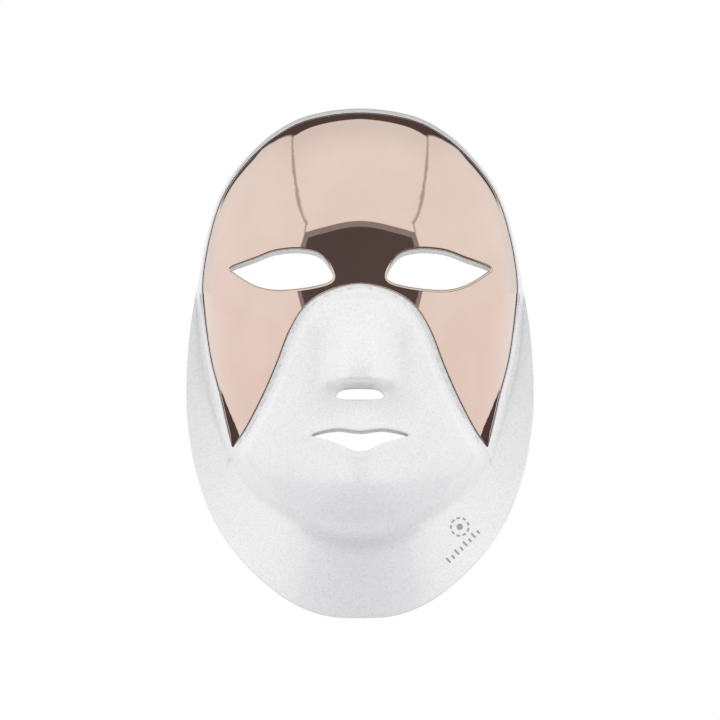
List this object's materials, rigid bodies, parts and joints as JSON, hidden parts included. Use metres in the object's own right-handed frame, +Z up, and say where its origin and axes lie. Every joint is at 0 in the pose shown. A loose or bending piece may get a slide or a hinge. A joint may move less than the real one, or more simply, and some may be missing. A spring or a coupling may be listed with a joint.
{
  "type": "led face mask",
  "caption": "Rigid LED face mask: glossy white shell with nose, mouth and eye openings, mirrored rose-gold visor plate, flared neck skirt, inner light cover, battery bay and head strap.",
  "frame": {"origin": "the wearer's nose bridge at eye level, on the middle plane, inside the mask", "axes": "+X to the viewer's right as the mask looks at the viewer, +Y from the mask's front towards the wearer's head, +Z up"},
  "size_m": [0.1852, 0.2366, 0.27],
  "materials": {
    "pearl_white": "gloss pearl",
    "rose_mirror": "polished rose gold",
    "milky_cover": "translucent satin",
    "white_silicone": "matte silicone",
    "led_board": "matte",
    "flat_cable": "matte",
    "screw_steel": "satin",
    "battery_foil": "satin foil",
    "circuit_board": "solder mask",
    "black_plastic": "matte",
    "light_pipe": "clear"
  },
  "bodies": {
    "mask": {"outer_shell": "pearl_white", "visor_plate": "rose_mirror", "inner_cover": "milky_cover", "eye_gasket_left": "white_silicone", "eye_gasket_right": "white_silicone", "nose_pad": "white_silicone", "forehead_pad": "white_silicone", "led_board_forehead": "led_board", "led_board_cheek_left": "led_board", "led_board_cheek_right": "led_board", "led_board_chin": "led_board", "flat_cable_cheek_left": "flat_cable", "flat_cable_cheek_right": "flat_cable", "flat_cable_forehead": "flat_cable", "flat_cable_chin": "flat_cable", "bay_cover": "pearl_white", "bay_screw_1": "screw_steel", "bay_screw_2": "screw_steel", "bay_screw_3": "screw_steel", "bay_screw_4": "screw_steel", "battery": "battery_foil", "control_board": "circuit_board", "buzzer": "black_plastic", "usb_socket": "screw_steel", "tact_switch": "black_plastic", "status_light": "light_pipe", "temple_bracket_left": "pearl_white", "temple_bracket_right": "pearl_white", "pivot_pin_left": "screw_steel", "pivot_pin_right": "screw_steel"},
    "strap": {"strap_band": "white_silicone", "rear_pad": "white_silicone", "strap_clip_left": "pearl_white", "strap_clip_right": "pearl_white"},
    "slider_left": {"strap_slider_left": "pearl_white"},
    "slider_right": {"strap_slider_right": "pearl_white"},
    "button": {"power_button": "white_silicone"},
    "port_flap": {"port_cover": "white_silicone"}
  },
  "joints": [
    {"name": "strap_swing", "type": "hinge", "parent": "mask", "child": "strap", "pos_m": [0, 0.06, 0.035], "axis": [1, 0, 0], "range_deg": [-25, 50]},
    {"name": "slider_left_travel", "type": "slide", "parent": "strap", "child": "slider_left", "axis": [0, 1, 0], "range_m": [-0.014, 0.014]},
    {"name": "slider_right_travel", "type": "slide", "parent": "strap", "child": "slider_right", "axis": [0, 1, 0], "range_m": [-0.014, 0.014]},
    {"name": "power_press", "type": "slide", "parent": "mask", "child": "button", "axis": [0, 0, 1], "range_m": [0, 0.0006], "stiffness_N_per_m": 800, "springref_m": -0.0008},
    {"name": "port_flap_hinge", "type": "hinge", "parent": "mask", "child": "port_flap", "pos_m": [0.01, 0.0155, -0.1672], "axis": [1, 0, 0], "range_deg": [0, 110]}
  ]
}
